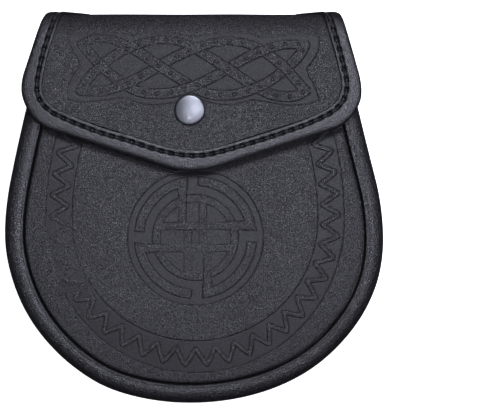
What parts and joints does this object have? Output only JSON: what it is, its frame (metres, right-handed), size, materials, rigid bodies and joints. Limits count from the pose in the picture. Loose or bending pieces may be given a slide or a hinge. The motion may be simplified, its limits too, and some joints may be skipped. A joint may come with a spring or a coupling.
{
  "type": "sporran pouch",
  "caption": "Round-bottomed black leather sporran pouch with an embossed front, a bound pointed flap and a snap, empty and lying on its back.",
  "frame": {"origin": "bottom centre of the pouch's box, on the surface that it lies on", "axes": "+X to the wearer's left across the pouch as the picture shows it, +Y from its round bottom to its top fold, +Z out of its front"},
  "size_m": [0.189, 0.196, 0.0454],
  "materials": {
    "grained_leather": "black cowhide with a printed pebble grain, embossed, semi-matt",
    "smooth_leather": "black cowhide with a fine grain, satin",
    "nickel": "satin nickel plate"
  },
  "bodies": {
    "root": {"front_panel": "grained_leather", "gusset": "smooth_leather", "back_panel": "grained_leather", "flap": "grained_leather", "flap_binding": "smooth_leather", "snap_cap": "nickel", "snap_stud": "nickel", "back_loop": "smooth_leather"}
  },
  "joints": []
}
